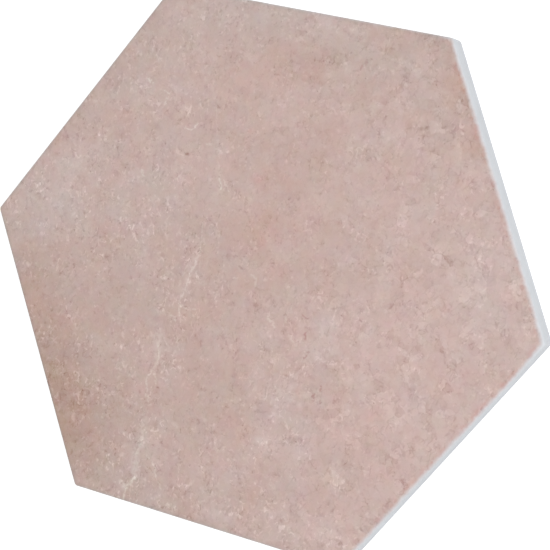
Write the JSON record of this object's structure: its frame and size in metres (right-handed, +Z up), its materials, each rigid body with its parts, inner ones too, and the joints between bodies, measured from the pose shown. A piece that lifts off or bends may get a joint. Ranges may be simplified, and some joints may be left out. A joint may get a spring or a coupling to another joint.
{
  "type": "hexagonal ceramic tile",
  "caption": "Flat hexagonal glazed porcelain tile with a softly clouded pink face, a rounded arris, white body edges and a honeycomb keyed back, for bedding on walls and floors.",
  "frame": {"origin": "centre of the bedding plane, the flat underside that lies in the adhesive", "axes": "+Z up through the glazed face, +X towards a corner of the hexagon, +Y square to one of its edges"},
  "size_m": [0.2016, 0.175, 0.009],
  "materials": {
    "glazed_porcelain": "satin glaze, clouded pink and greige, over a pale bluish white body that shows at the edges and back"
  },
  "bodies": {
    "root": {"tile": "glazed_porcelain"}
  },
  "joints": []
}
